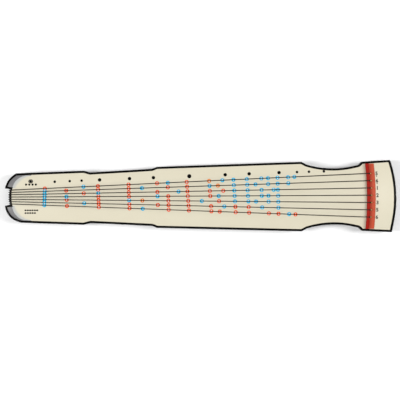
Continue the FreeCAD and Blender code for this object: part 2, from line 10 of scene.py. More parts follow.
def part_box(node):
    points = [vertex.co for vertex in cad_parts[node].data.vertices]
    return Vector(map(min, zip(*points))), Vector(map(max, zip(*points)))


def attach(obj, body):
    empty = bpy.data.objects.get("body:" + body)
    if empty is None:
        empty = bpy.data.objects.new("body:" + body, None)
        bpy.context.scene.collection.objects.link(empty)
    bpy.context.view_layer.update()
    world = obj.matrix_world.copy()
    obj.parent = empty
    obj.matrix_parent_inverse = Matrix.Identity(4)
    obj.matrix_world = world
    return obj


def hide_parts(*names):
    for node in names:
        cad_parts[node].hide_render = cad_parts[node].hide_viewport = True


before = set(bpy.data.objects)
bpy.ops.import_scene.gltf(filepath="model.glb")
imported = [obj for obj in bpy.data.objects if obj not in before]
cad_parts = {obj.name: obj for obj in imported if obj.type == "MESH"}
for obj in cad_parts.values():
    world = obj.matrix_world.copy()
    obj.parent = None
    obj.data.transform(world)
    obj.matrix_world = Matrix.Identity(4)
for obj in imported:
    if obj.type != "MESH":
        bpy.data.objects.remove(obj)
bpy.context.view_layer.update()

MM = 0.001
STRINGS = 7

# Fineness of meshes: degrees for each step of an arc, by its radius, and an offset that keeps grid lines
# off the corners
LARGE_RADIUS, FINE_TURN, COARSE_TURN = 100, 1.2, 5
LEAST_RADIUS = 0.3
GRID_OFFSET = 0.013

# Outline of the soundbox as corners: x, distance from the middle line and the corner's radius. The far side,
# with the position dots, and the near side differ a little at the head and at the tail.
HEAD_END = (622.0, 13.0, 400)
HEAD_CORNERS = [(594.2, 113.4, 3), (598.6, 113.2, 3)]
SIDE_CORNERS = [
    (504, 108.2, 10),
    (495, 98.6, 12),
    (407.5, 79.2, 285),
    (332, 100.1, 14),
    (315.5, 108.8, 5),
    (-137, 95.5, 12),
    (-152, 89.4, 12),
    (-345, 79.2, 12),
    (-366, 84.7, 14),
]
TAIL_CORNERS = [
    [(-578, 77.5, 15), (-603, 58.0, 56)],
    [(-562, 77.0, 15), (-606, 63.0, 56)],
]
# One half of the notch between the tail corners. The notch lies a little to the far side, as the strings do.
NOTCH = [
    (-612.3, 27.0, 1),
    (-595.9, 24.4, 0.6),
]
NOTCH_END = (-601.4, 0, 106)
NOTCH_SHIFT = 3.6

# Heights above the table, and the arch of the top board
BODY_BOTTOM = 32.0
SEAM = 42.0
SHOULDER_X = 315.5
CROWN_TAIL, CROWN_SHOULDER, CROWN_HEAD = 80.0, 84.0, 78.0
ARCH_RADIUS = 520.0
HALF_LENGTH = 612.0

# The black rim, wider at the head's end. Its round edge is given as distance in from the outline and drop
# below the arch.
RIM = 7.0
HEAD_RIM_EXTRA = 1.0
HEAD_RIM_X = 580.0
TOP_EDGE = [(0.0, 2.6), (0.12, 1.75), (0.5, 1.0), (1.1, 0.45), (1.9, 0.12), (2.8, 0.0), (RIM, 0.0)]
LOWER_EDGE = [(0.0, 3.4), (0.3, 2.1), (1.0, 1.0), (2.1, 0.3), (3.4, 0.0)]
BOARD_GRID = (12, 7)

# Hollow of the top board, with a ridge over each sound hole
WALL = 16.0
TOP_THICKNESS = 11.0
HOLLOW_X = (-545.0, 465.0)
HOLLOW_GRID = (8, 6)
RIDGE_DROP = 8.0
RIDGE_OVERHANG = 12.0
RIDGE_SLOPE = 8.0
# Sound holes: middle, length of the straight sides, and width
SOUND_HOLES = [(105.0, 206.0, 26.0), (-390.0, 108.0, 26.0)]
POOL_X = (516.7, 551.7)
POOL_HALF_LENGTH = 84.0
PLATE_TOP = 52.0

# How far the cutters reach past the seam, and levels below and above all that they cut
HOLLOW_REACH, POOL_REACH, HOLE_REACH = 4.0, 1.0, 2.0
CUT_BOTTOM, CUT_TOP = 20.0, 100.0

# Bridge and strip
BOW_RADIUS = 1120.0
CROWN_X = 525.6
BRIDGE_HEIGHT = 15.0
BRIDGE_HALF_LENGTH = 102.0
BRIDGE_TAIL_SIDE, BRIDGE_HEAD_SIDE, STRIP_END = 519.3, 529.5, 546.7
STRIP_PROUD = 2.2
INLAY_DEPTH = 3.0
HOLE_RADIUS = 2.4
GROOVE_DEPTH, GROOVE_WIDTH, GROOVE_FADE = 0.25, 1.3, 2.0
STRIP_STATIONS, BRIDGE_STATIONS = 72, 300

# Strings
STRING_RADIUS = [1.4, 1.37, 1.34, 1.31, 1.28, 1.25, 1.25]
BRIDGE_SPACING, BRIDGE_SHIFT = 22.7, 3.0
NUT_SPACING, NUT_SHIFT = 7.15, 3.4
NUT_X, NUT_EDGE, NUT_BOW_RADIUS = -596.0, -598.7, 106.0
NUT_PROUD, NUT_ROUND, NUT_CLEARANCE = 1.6, 3.0, 0.5
GUM_BOTTOM = 29.2
TOUCH = 0.05
SADDLE_GAP = 0.2
HOLE_X = 534.2
KNOT_BACK, KNOT_RISE, KNOT_RADIUS, KNOT_OVERLAP = 5.6, 2.0, 2.7, 0.1
KNOT_SIZE, KNOT_STRAND = 1.75, 0.85
SIDE_HOLE_Z = 35.2
FOOT_X, FOOT_Y = -255.0, 42.0
FOOT_WRAP_RADIUS, FOOT_TANGENT = 13.2, 11.4
FIRST_FOOT_STRING_Z, FOOT_STRING_STEP = 28.3, 3.1
FAR_FOOT_STRINGS = 4

# Twisted silk: how closely strands lie, and steps for each turn of the twist
STRAND_PACKING, STEPS_PER_PITCH = 0.92, 9
# Silk loops: strands, pitch of the twist, bend over the bridge, and how the loop leaves the knot
LOOP_STRANDS, LOOP_STRAND_RADIUS, LOOP_PITCH, LOOP_BEND = 2, 0.72, 5.2, 6.0
LOOP_IN_KNOT, LOOP_RISE, LOOP_TURN_DROP = 1.2, 0.9, 7.5
WRAP_RADIUS, WRAP_STRAND_RADIUS, WRAP_PITCH = 6.85, 0.52, 3.6
WRAP_TURNS, WRAP_MARGIN = 3.5, 1.1

# Spare string ends round the feet, layer by layer
END_LAYERS = (9.65, 11.2, 12.3)
END_RADIUS = 0.88
END_MARGIN, END_MARGIN_STEP = 0.95, 0.5
END_TURNS, END_TURNS_STEP = 4.3, 0.6

# Tail corners: a raised crescent inside the rim, with a bevel down to the lip on its inner side, the bevel
# painted with a highlight. The inner edge and the lip each follow the circle through three points.
CORNER_HEIGHT = 1.35
CORNER_START_X = -530.0
BESIDE_NOTCH = 0.3
CORNER_STEPS = 144
CORNER_GAP = 0.05
CORNER_ROOT = 1.5
CORNER_LEAST_SHARE = 0.2
FULL_HEIGHT_WIDTH, LEAST_WIDTH, LEAST_BEVEL = 4.0, 1.4, 1.0
LIP_TAPER = 0.6
BEVEL_SHARES = (0.15, 0.3, 0.5, 0.7, 0.85, 1.0)
RAISED_COLUMNS = 6
CORNER_EDGE = [(-589.5, 23.0), (-578.5, 52.0), (-543.0, 70.5)]
CORNER_LIP = [(-580.0, 23.0), (-565.5, 47.5), (-530.0, 67.0)]

# Note labels: for each string, its stopped notes as semitones above the open string
FIRST_NOTE = 1.76
LAST_NOTE = 27.33
RED_NOTES = [
    [FIRST_NOTE, 5, 7, 9, 12, 14],
    [3, 5, 7, 10, 12, 15],
    [4, 7, 9, 12, 14, 16],
    [5, 7, 10, 12, 14],
    [3, 5, 8, 10, 12, 15],
    [5, 7, 9, 10, 12, 14, 17, 19],
    [3, 5, 7, 10, 12, 14, 15, 17, 19, 22, 24, LAST_NOTE],
]
BLUE_NOTES = [
    [4, 10, 16, 17, 19, 21, 22, 24, 26, LAST_NOTE],
    [FIRST_NOTE, 8, 14, 17, 19, 20, 22, 24, 26],
    [FIRST_NOTE, 5, 11, 17, 19, 21, 23, 24],
    [FIRST_NOTE, 3, 9, 15, 17, 19, 21, 22, 24],
    [FIRST_NOTE, 7, 13, 17, 19, 20, 22, 24],
    [FIRST_NOTE, 4, 16, 21, 24],
    [FIRST_NOTE, 8, 26],
]
# Some labels lie a little off the even-tempered place: note and how far, in semitones
LABEL_NUDGE = {3: -0.03, 5: -0.1, 7: -0.02, 8: -0.04, 9: 0.17, 10: 0.07, 12: -0.15, 13: 0.2, 14: 0.14,
               15: 0.08, 16: -0.35, 17: 0.02, 19: -0.17, 21: -0.07, 22: 0.04, 24: -0.22, 26: -0.08}
ORANGE_NOTES = [(0, 14), (1, 15), (4, 8)]
OPEN_SEMITONES = [7, 9, 12, 14, 16, 19, 21]
SCALE = {0: "1", 2: "2", 4: "3", 5: "4", 7: "5", 9: "6", 11: "7"}
LABEL_RADIUS = 6.4
# Labels for one note slant a little from string to string: up to which note, and how much for each string
LABEL_SLANTS = [(2, -0.3), (11, 0.45), (19, 1.1), (30, 0.45)]
LABEL_THICKNESS = 0.3
LABEL_GAP = 0.06
LABEL_DIGIT, LABEL_BOLDNESS, LABEL_INK = 6.8, 0.022, 0.05
TUNING_X = 552.4
TUNING_DIGIT, TUNING_BOLDNESS = 11.8, 0.032
LOW_OCTAVE_STRINGS = 2
OCTAVE_DOT_RADIUS, OCTAVE_DOT_DROP = 1.6, 8.6
FONT_EXTRUDE, FONT_RESOLUTION = 0.005, 5

# Plain marks near the tail
INK_LIFT, INK_THICKNESS = 0.01, 0.12
ROSETTE = (-531.0, 52.0)
ROSETTE_RADIUS = 3.9
PETALS, PETAL_RADIUS, PETAL_RING = 10, 1.7, (5.9, 5.2)
ROW_DOTS, ROW_DOT_RADIUS, ROW_START, ROW_STEP = 4, 3.4, (-545.5, 42.0), 10.2
OVAL_ROWS = [(6, -38.4), (5, -47.0)]
OVAL_RADIUS, OVAL_STRETCH, OVAL_START_X, OVAL_STEP = 2.5, 1.35, -547.5, 7.3

# Stage. The lights' places and sizes are in metres: name, place, size and power.
FLOOR_HALF_SIZE = 9000
FLOOR_GAP = 0.4
WORLD_STRENGTH = 0.32
LIGHTS = [
    ("head_softbox", (3.2, 0.2, 4.8), (1.0, 2.8), 170),
    ("tail_softbox", (-3.2, -0.2, 4.8), (1.0, 2.8), 189),
    ("far_softbox", (0.4, 4.6, 4.4), (3.6, 2.6), 54),
    ("near_softbox", (-0.4, -4.6, 4.4), (3.6, 2.6), 54),
]
VIEW_WIDTH = 1250.0
CAMERA_LENS = 150.0
CAMERA_SENSOR = 36
CAMERA_CLIP_END = 50
CAMERA_OFFSET = (-2.2, -9.0)
CAMERA_ROLL = 0.31
FOCUS_DROP = 6.0


# ---------------------------------------------------------------- shape of the board


def crown(x):
    """Height of the board's crest at x."""
    if x < SHOULDER_X:
        share = (SHOULDER_X - x) / (SHOULDER_X + HALF_LENGTH)
        return CROWN_SHOULDER + (CROWN_TAIL - CROWN_SHOULDER) * share
    share = (x - SHOULDER_X) / (HALF_LENGTH - SHOULDER_X)
    return CROWN_SHOULDER + (CROWN_HEAD - CROWN_SHOULDER) * share


def arch_drop(y):
    return ARCH_RADIUS - math.sqrt(ARCH_RADIUS**2 - y**2)


def top_height(x, y):
    return crown(x) - arch_drop(y)


def surface_frame(x, y, lift=0.0):
    """Matrix that sets a piece made about the origin on the board at (x, y), square to its surface."""
    lean_x = (crown(x + 1) - crown(x - 1)) / 2
    lean_y = -y / math.sqrt(ARCH_RADIUS**2 - y**2)
    normal = Vector((-lean_x, -lean_y, 1)).normalized()
    turn = Vector((0, 0, 1)).rotation_difference(normal).to_matrix().to_4x4()
    return Matrix.Translation(Vector((x, y, top_height(x, y))) + normal * lift) @ turn


def outline_corners():
    far, near = [[HEAD_CORNERS[k]] + SIDE_CORNERS + TAIL_CORNERS[k] for k in (0, 1)]
    notch = NOTCH + [NOTCH_END] + [(x, -y, radius) for x, y, radius in reversed(NOTCH)]
    notch = [(x, y + NOTCH_SHIFT, radius) for x, y, radius in notch]
    return [HEAD_END] + far + notch + [(x, -y, radius) for x, y, radius in reversed(near)]


def inset_corners(corners, inset):
    """The corners moved inwards. Round outer corners tighten and round inner ones widen."""
    moved = []
    count = len(corners)
    for i, (x, y, radius) in enumerate(corners):
        here = Vector((x, y))
        arriving = (here - Vector(corners[i - 1][:2])).normalized()
        leaving = (Vector(corners[(i + 1) % count][:2]) - here).normalized()
        left = Vector((-arriving.y, arriving.x))
        right = Vector((-leaving.y, leaving.x))
        corner = here + (left + right) * inset / (1 + left.dot(right))
        outer = arriving.cross(leaving) > 0
        if outer:
            radius = max(radius - inset, LEAST_RADIUS)
        elif radius > 2:
            radius += inset
        moved.append((corner.x, corner.y, radius))
    return moved


def corner_steps(corners):
    """How many points each corner's arc gets: more on a long or wide arc."""
    steps = []
    count = len(corners)
    for i, (x, y, radius) in enumerate(corners):
        here = Vector((x, y))
        arriving = here - Vector(corners[i - 1][:2])
        leaving = Vector(corners[(i + 1) % count][:2]) - here
        turn = math.degrees(arriving.angle(leaving))
        step = FINE_TURN if radius > LARGE_RADIUS else COARSE_TURN
        steps.append(max(3, math.ceil(turn / step)))
    return steps


def ring(inset):
    """The outline moved inwards, as the same number of points whatever the inset."""
    base = outline_corners()
    corners = inset_corners(base, inset)
    count = len(corners)
    points = []
    for i, steps in enumerate(corner_steps(base)):
        x, y, radius = corners[i]
        here = Vector((x, y))
        back = (Vector(corners[i - 1][:2]) - here).normalized()
        on = (Vector(corners[(i + 1) % count][:2]) - here).normalized()
        half = back.angle(on) / 2
        centre = here + (back + on).normalized() * radius / math.sin(half)
        start = here + back * radius / math.tan(half) - centre
        end = here + on * radius / math.tan(half) - centre
        turn = start.angle_signed(end)
        for k in range(steps + 1):
            points.append(centre + Matrix.Rotation(-turn * k / steps, 2) @ start)
    return points


# ---------------------------------------------------------------- where the strings go


def bow(y):
    """How far the bridge line lies back towards the tail at y."""
    return -(BOW_RADIUS - math.sqrt(BOW_RADIUS**2 - y**2))


def bridge_y(i):
    return BRIDGE_SHIFT + BRIDGE_SPACING * ((STRINGS - 1) / 2 - i)


def nut_y(i):
    return NUT_SHIFT + NUT_SPACING * ((STRINGS - 1) / 2 - i)


def hole(i):
    y = bridge_y(i)
    return HOLE_X + bow(y), y


def bridge_top(y):
    return crown(CROWN_X) + BRIDGE_HEIGHT - arch_drop(y)


def string_length():
    return CROWN_X - NUT_X


def nut_edge(y):
    """The outermost x of the tail nut at y."""
    return NUT_EDGE + NUT_BOW_RADIUS - math.sqrt(NUT_BOW_RADIUS**2 - (y - NOTCH_SHIFT) ** 2)


def string_y(i, x):
    share = (CROWN_X - x) / string_length()
    return bridge_y(i) + (nut_y(i) - bridge_y(i)) * share


def string_route(i):
    """The string's centre line from its knot to its foot, and the radius of each bend."""
    r = STRING_RADIUS[i]
    yb, yn = bridge_y(i), nut_y(i)
    edge = nut_edge(yn)
    outside = edge - r - NUT_CLEARANCE
    nut_top = crown(edge + NUT_ROUND) + NUT_PROUD - arch_drop(yn)
    side = 1 if i < FAR_FOOT_STRINGS else -1
    order = i if side > 0 else i - FAR_FOOT_STRINGS
    foot_z = FIRST_FOOT_STRING_Z - FOOT_STRING_STEP * order
    from_foot = math.sqrt((FOOT_WRAP_RADIUS + 2 * TOUCH) ** 2 - (FOOT_TANGENT - r) ** 2)
    knot_side = hole(i)[0] - KNOT_BACK - KNOT_RADIUS + KNOT_OVERLAP
    at_knot = Vector((knot_side, yb, bridge_top(yb) + r + SADDLE_GAP))
    over_nut = Vector((outside, yn, nut_top + r + TOUCH))
    under_gum = Vector((outside, yn, GUM_BOTTOM - r - TOUCH))
    at_foot = Vector((FOOT_X - from_foot, side * (FOOT_Y - FOOT_TANGENT), foot_z))
    bend = NUT_ROUND + NUT_CLEARANCE + r
    return [at_knot, over_nut, under_gum, at_foot], [bend, bend]


# ---------------------------------------------------------------- mesh helpers


def new_piece(bm, name, *materials):
    """Turns a mesh made in millimetres into an object in metres."""
    bmesh.ops.scale(bm, vec=(MM, MM, MM), verts=bm.verts)
    bmesh.ops.recalc_face_normals(bm, faces=bm.faces)
    mesh = bpy.data.meshes.new(name)
    bm.to_mesh(mesh)
    bm.free()
    for material in materials:
        mesh.materials.append(material)
    obj = bpy.data.objects.new(name, mesh)
    bpy.context.scene.collection.objects.link(obj)
    return obj


def smooth(obj, angle=35):
    for polygon in obj.data.polygons:
        polygon.use_smooth = True
    obj.data.set_sharp_from_angle(angle=math.radians(angle))


def settle(obj):
    """Applies the object's modifiers to its mesh."""
    view = bpy.context.evaluated_depsgraph_get()
    mesh = bpy.data.meshes.new_from_object(obj.evaluated_get(view))
    obj.modifiers.clear()
    obj.data = mesh


def cut_away(obj, cutters):
    """Cuts closed cutters out of the piece and removes them. The cut faces take the cutter's material."""
    for cutter in cutters:
        modifier = obj.modifiers.new("cut", "BOOLEAN")
        modifier.operation = "DIFFERENCE"
        modifier.solver = "EXACT"
        modifier.material_mode = "TRANSFER"
        modifier.object = cutter
        cutter.hide_render = True
    settle(obj)
    for cutter in cutters:
        bpy.data.objects.remove(cutter)


def soften(obj, width, segments=2, angle=40):
    """Rounds the hard edges of a piece or of a CAD node, without touching its own vertices."""
    modifier = obj.modifiers.new("soft_edges", "BEVEL")
    modifier.width = width * MM
    modifier.segments = segments
    modifier.limit_method = "ANGLE"
    modifier.angle_limit = math.radians(angle)
    modifier.harden_normals = True


def dress(node, material, soft=0.0):
    """Gives a CAD node its finish, and soft edges where it has hard ones."""
    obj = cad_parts[node]
    obj.data.materials.clear()
    obj.data.materials.append(material)
    if soft:
        soften(obj, soft)


def finish_piece(obj, body, slot_name, *nodes):
    """Sets which body a piece rides on and hides the CAD nodes that it stands for. The slot name is not
    used.
    """
    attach(obj, body)
    if nodes:
        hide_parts(*nodes)


def grid_cut(bm, step_x, step_y):
    """Cuts the flat mesh along a grid, so that it can be lifted onto the arch."""
    for axis, step in ((0, step_x), (1, step_y)):
        values = [v.co[axis] for v in bm.verts]
        first, last = math.ceil(min(values) / step), math.floor(max(values) / step)
        for k in range(first, last + 1):
            place, normal = Vector((0, 0, 0)), Vector((0, 0, 0))
            place[axis], normal[axis] = k * step + GRID_OFFSET, 1
            geometry = list(bm.verts) + list(bm.edges) + list(bm.faces)
            bmesh.ops.bisect_plane(bm, geom=geometry, plane_co=place, plane_no=normal)


def drop_skirt(bm, z):
    """Closes an open sheet down to the level z."""
    border = [edge for edge in bm.edges if edge.is_boundary]
    made = bmesh.ops.extrude_edge_only(bm, edges=border)["geom"]
    for item in made:
        if isinstance(item, bmesh.types.BMVert):
            item.co.z = z
    rim = [item for item in made if isinstance(item, bmesh.types.BMEdge) and item.is_boundary]
    bmesh.ops.contextual_create(bm, geom=rim)


def block(x0, x1, y0, y1, z0, z1, material):
    bm = bmesh.new()
    size = Matrix.Diagonal((x1 - x0, y1 - y0, z1 - z0, 1))
    middle = Matrix.Translation(((x0 + x1) / 2, (y0 + y1) / 2, (z0 + z1) / 2))
    bmesh.ops.create_cube(bm, size=1, matrix=middle @ size)
    return new_piece(bm, "cutter", material)


def upright_prism(points, z0, z1, material):
    bm = bmesh.new()
    low = [bm.verts.new((x, y, z0)) for x, y in points]
    high = [bm.verts.new((x, y, z1)) for x, y in points]
    bm.faces.new(low)
    bm.faces.new(high)
    for k in range(len(points)):
        bm.faces.new((low[k - 1], low[k], high[k], high[k - 1]))
    return new_piece(bm, "cutter", material)


def circle(x, y, radius, steps=28):
    angles = [2 * math.pi * k / steps for k in range(steps)]
    return [(x + radius * math.cos(a), y + radius * math.sin(a)) for a in angles]


def slot_points(centre_x, length, width, steps=14):
    """A slot with round ends, along X."""
    r, straight = width / 2, length / 2
    points = []
    for side, first in ((1, -90), (-1, 90)):
        for k in range(steps + 1):
            a = math.radians(first + 180 * k / steps)
            points.append((centre_x + side * straight + r * math.cos(a), r * math.sin(a)))
    return points


def path_frames(path):
    """Two cross directions at each point of the path, carried along it without twist."""
    frames = []
    across = None
    last = len(path) - 1
    for k in range(len(path)):
        along = (path[min(k + 1, last)] - path[max(k - 1, 0)]).normalized()
        if across is None:
            across = along.orthogonal().normalized()
        across = (across - along * across.dot(along)).normalized()
        frames.append((across, along.cross(across)))
    return frames


def tube(bm, path, radius, sides=10):
    """Adds a round tube with closed ends."""
    rings = []
    angles = [2 * math.pi * k / sides for k in range(sides)]
    for point, (across, up) in zip(path, path_frames(path)):
        spokes = [(across * math.cos(a) + up * math.sin(a)) * radius for a in angles]
        rings.append([bm.verts.new(point + spoke) for spoke in spokes])
    bm.faces.new(rings[0][::-1])
    bm.faces.new(rings[-1])
    for first, second in zip(rings, rings[1:]):
        for k in range(sides):
            bm.faces.new((first[k - 1], first[k], second[k], second[k - 1]))


def bent_path(points, radii, steps=8):
    """Straight runs joined by tangent arcs."""
    path = [points[0]]
    for i in range(1, len(points) - 1):
        back = (points[i - 1] - points[i]).normalized()
        on = (points[i + 1] - points[i]).normalized()
        half = back.angle(on) / 2
        reach = radii[i - 1] / math.tan(half)
        centre = points[i] + (back + on).normalized() * radii[i - 1] / math.sin(half)
        axis = back.cross(on).normalized()
        start = points[i] + back * reach - centre
        turn = math.pi - 2 * half
        for k in range(steps + 1):
            path.append(centre + Matrix.Rotation(-turn * k / steps, 3, axis) @ start)
    path.append(points[-1])
    return path


def spaced(path, spacing):
    """The path again, with points at about the same spacing all along."""
    points = [path[0]]
    for start, end in zip(path, path[1:]):
        steps = max(1, round((end - start).length / spacing))
        points += [start.lerp(end, k / steps) for k in range(1, steps + 1)]
    return points


def twisted(bm, path, strands, strand_radius, pitch, sides=7):
    """Adds a cord of twisted strands along the path."""
    offset = strand_radius / math.sin(math.pi / strands) * STRAND_PACKING
    path = spaced(path, pitch / STEPS_PER_PITCH)
    frames = path_frames(path)
    lengths = [0.0]
    for start, end in zip(path, path[1:]):
        lengths.append(lengths[-1] + (end - start).length)
    for strand in range(strands):
        points = []
        for point, (across, up), length in zip(path, frames, lengths):
            a = 2 * math.pi * (length / pitch + strand / strands)
            points.append(point + (across * math.cos(a) + up * math.sin(a)) * offset)
        tube(bm, points, strand_radius, sides)


# ---------------------------------------------------------------- materials


class Finish:
    """A procedural material under construction: a principled shader and its texture nodes."""

    def __init__(self, name, roughness=0.4, coat=0.0, sheen=0.0, specular=0.5):
        self.material = bpy.data.materials.new(name)
        self.material.use_nodes = True
        self.tree = self.material.node_tree
        self.shader = self.tree.nodes["Principled BSDF"]
        self.shader.inputs["Roughness"].default_value = roughness
        self.shader.inputs["Coat Weight"].default_value = coat
        self.shader.inputs["Coat Roughness"].default_value = 0.12
        self.shader.inputs["Sheen Weight"].default_value = sheen
        self.shader.inputs["Specular IOR Level"].default_value = specular
        self.place = self.tree.nodes.new("ShaderNodeTexCoord").outputs["Object"]

    def stretched(self, scale):
        mapping = self.tree.nodes.new("ShaderNodeMapping")
        mapping.inputs["Scale"].default_value = scale
        self.tree.links.new(self.place, mapping.inputs["Vector"])
        return mapping.outputs["Vector"]

    def noise(self, scale, detail=4.0, stretch=(1, 1, 1), distortion=0.0):
        node = self.tree.nodes.new("ShaderNodeTexNoise")
        node.inputs["Scale"].default_value = scale
        node.inputs["Detail"].default_value = detail
        node.inputs["Distortion"].default_value = distortion
        self.tree.links.new(self.stretched(stretch), node.inputs["Vector"])
        return node.outputs["Fac"]

    def bands(self, scale, stretch, distortion):
        node = self.tree.nodes.new("ShaderNodeTexWave")
        node.inputs["Scale"].default_value = scale
        node.inputs["Distortion"].default_value = distortion
        self.tree.links.new(self.stretched(stretch), node.inputs["Vector"])
        return node.outputs["Fac"]

    def ramp(self, value, low, high, start=0.0, end=1.0):
        node = self.tree.nodes.new("ShaderNodeMapRange")
        node.inputs["From Min"].default_value = start
        node.inputs["From Max"].default_value = end
        node.inputs["To Min"].default_value = low
        node.inputs["To Max"].default_value = high
        self.tree.links.new(value, node.inputs["Value"])
        return node.outputs["Result"]

    def attribute(self, name):
        node = self.tree.nodes.new("ShaderNodeAttribute")
        node.attribute_name = name
        return node.outputs["Fac"]

    def mix(self, factor, first, second):
        node = self.tree.nodes.new("ShaderNodeMix")
        node.data_type = "RGBA"
        self.tree.links.new(factor, node.inputs[0])
        for socket, colour in ((node.inputs[6], first), (node.inputs[7], second)):
            if isinstance(colour, tuple):
                socket.default_value = (*colour, 1)
            else:
                self.tree.links.new(colour, socket)
        return node.outputs[2]

    def colour(self, output):
        self.tree.links.new(output, self.shader.inputs["Base Color"])

    def roughness(self, output):
        self.tree.links.new(output, self.shader.inputs["Roughness"])

    def bump(self, height, strength, distance):
        node = self.tree.nodes.new("ShaderNodeBump")
        node.inputs["Strength"].default_value = strength
        node.inputs["Distance"].default_value = distance * MM
        self.tree.links.new(height, node.inputs["Height"])
        previous = self.shader.inputs["Normal"].links
        if previous:
            self.tree.links.new(previous[0].from_socket, node.inputs["Normal"])
        self.tree.links.new(node.outputs["Normal"], self.shader.inputs["Normal"])


def lacquer(name, light, dark, roughness, coat=0.3, speckle=0.12, specular=0.5):
    """Hand-rubbed lacquer: slow clouds of tone, fine powder in the ground coat and a faint orange peel."""
    finish = Finish(name, roughness, coat, 0.0, specular)
    clouds = finish.ramp(finish.noise(7, 5), 0, 1, 0.3, 0.7)
    base = finish.mix(clouds, light, dark)
    grains = finish.ramp(finish.noise(1400, 2), 0, speckle, 0.56, 0.72)
    finish.colour(finish.mix(grains, base, tuple(c * 0.45 for c in dark)))
    finish.roughness(finish.ramp(finish.noise(24, 6), roughness - 0.07, roughness + 0.09))
    finish.bump(finish.noise(90, 3), 0.12, 0.25)
    finish.bump(finish.noise(900, 2), 0.06, 0.05)
    return finish.material


def painted_highlight_lacquer(name, first, second, roughness):
    """Lacquer with a painted highlight: one colour fades into the other by a value stored on the mesh."""
    finish = Finish(name, roughness, 0.1)
    cloud = finish.ramp(finish.noise(60, 4), -0.12, 0.12)
    share = finish.tree.nodes.new("ShaderNodeMath")
    share.use_clamp = True
    finish.tree.links.new(finish.attribute("highlight_fade"), share.inputs[0])
    finish.tree.links.new(cloud, share.inputs[1])
    finish.colour(finish.mix(share.outputs["Value"], first, second))
    finish.bump(finish.noise(90, 3), 0.12, 0.25)
    return finish.material


def hardwood(name, light, dark, grain, roughness=0.38, coat=0.15, specular=0.5):
    """Oiled hardwood with long dark pores. The grain runs along the axis that is least stretched."""
    finish = Finish(name, roughness, coat, 0.0, specular)
    streaks = finish.noise(26, 6, grain, 0.6)
    figure = finish.bands(9, grain, 6)
    base = finish.mix(finish.ramp(streaks, 0, 1, 0.32, 0.68), light, dark)
    shade = finish.mix(finish.ramp(figure, 0, 0.35), base, dark)
    pores = finish.noise(240, 3, grain)
    finish.colour(finish.mix(finish.ramp(pores, 0, 0.7, 0.60, 0.74), shade, tuple(c * 0.3 for c in dark)))
    finish.roughness(finish.ramp(streaks, roughness - 0.06, roughness + 0.12))
    finish.bump(pores, 0.2, 0.12)
    return finish.material


def silk(name, light, dark, roughness, wind_scale, wind_axis, specular=0.3):
    """Silk fibres wound tightly round, with a faint sheen."""
    finish = Finish(name, roughness, 0.0, 0.05, specular)
    wind = finish.bands(wind_scale, wind_axis, 1.2)
    tone = finish.mix(finish.ramp(finish.noise(60, 4), 0, 1, 0.3, 0.7), light, dark)
    finish.colour(finish.mix(finish.ramp(wind, 0, 0.3), tone, dark))
    finish.roughness(finish.ramp(finish.noise(300, 3), roughness - 0.08, roughness + 0.1))
    finish.bump(wind, 0.35, 0.12)
    return finish.material


def paper(name, light, dark, specular=0.5):
    """Printed paper: even ink with a little fibre and mottle."""
    finish = Finish(name, 0.5, specular=specular)
    mottle = finish.ramp(finish.noise(45, 5), 0, 1, 0.3, 0.7)
    finish.colour(finish.mix(mottle, light, dark))
    finish.roughness(finish.ramp(finish.noise(500, 3), 0.42, 0.6))
    finish.bump(finish.noise(1200, 3), 0.1, 0.04)
    return finish.material


def floor_finish():
    finish = Finish("pale_floor", 0.75)
    clouds = finish.ramp(finish.noise(3, 3), 0, 1, 0.35, 0.65)
    finish.colour(finish.mix(clouds, (0.95, 0.95, 0.95), (0.93, 0.93, 0.93)))
    return finish.material


ALONG_X = (1, 9, 9)
ALONG_Y = (9, 1, 9)
ALONG_Z = (9, 9, 1)
CREAM = lacquer("cream_lacquer", (0.590, 0.552, 0.425), (0.572, 0.527, 0.404), 0.36, 0.15)
BLACK = lacquer("black_lacquer", (0.002, 0.0017, 0.0014), (0.001, 0.0009, 0.0007), 0.34, 0.0, 0.3, 0.06)
DARK_RED = lacquer("dark_red_lacquer", (0.315, 0.009, 0.003), (0.275, 0.006, 0.002), 0.46, 0.0, 0.12, 0.1)
LIGHT_RED = lacquer("light_red_lacquer", (0.465, 0.069, 0.029), (0.42, 0.058, 0.024), 0.48, 0.0, 0.12, 0.15)
GREY = lacquer("grey_lacquer", (0.175, 0.170, 0.172), (0.125, 0.122, 0.124), 0.40, 0.1, 0.35)
# Pale grey fading into cream: a painted highlight on the tail corners' bevels.
BEVEL_HIGHLIGHT_GREY = painted_highlight_lacquer("grey_painted_highlight_lacquer", (0.41, 0.42, 0.41), (0.585, 0.545, 0.42), 0.38)
BLACKWOOD = hardwood("blackwood", (0.004, 0.0033, 0.0028), (0.0015, 0.0013, 0.001), ALONG_Y, 0.4, 0.0, 0.08)
ROSEWOOD = hardwood("rosewood_upright", (0.090, 0.036, 0.018), (0.030, 0.012, 0.008), ALONG_Z)
ROSEWOOD_FLAT = hardwood("rosewood_flat", (0.090, 0.036, 0.018), (0.030, 0.012, 0.008), ALONG_X)
FIR = hardwood("bare_fir", (0.55, 0.38, 0.20), (0.42, 0.26, 0.12), ALONG_X, 0.6)
WOUND_SILK = silk("wound_silk", (0.017, 0.013, 0.008), (0.007, 0.006, 0.004), 0.55, 520, (1, 0, 0), 0.12)
TWISTED_SILK = silk("twisted_silk", (0.90, 0.62, 0.26), (0.66, 0.38, 0.12), 0.5, 300, (1, 1, 1))
DOT_BLACK = lacquer("black_inlay", (0.003, 0.0025, 0.0025), (0.0015, 0.0013, 0.0013), 0.3, 0.0, 0.2, 0.06)
INK = paper("black_ink", (0.006, 0.005, 0.004), (0.003, 0.0025, 0.002), 0.06)
WHITE_INK = paper("white_ink", (0.92, 0.91, 0.87), (0.88, 0.87, 0.83))
RED_PAPER = paper("red_paper", (0.72, 0.078, 0.004), (0.64, 0.062, 0.003), 0.15)
ORANGE_PAPER = paper("orange_paper", (0.68, 0.19, 0.02), (0.60, 0.15, 0.015), 0.15)
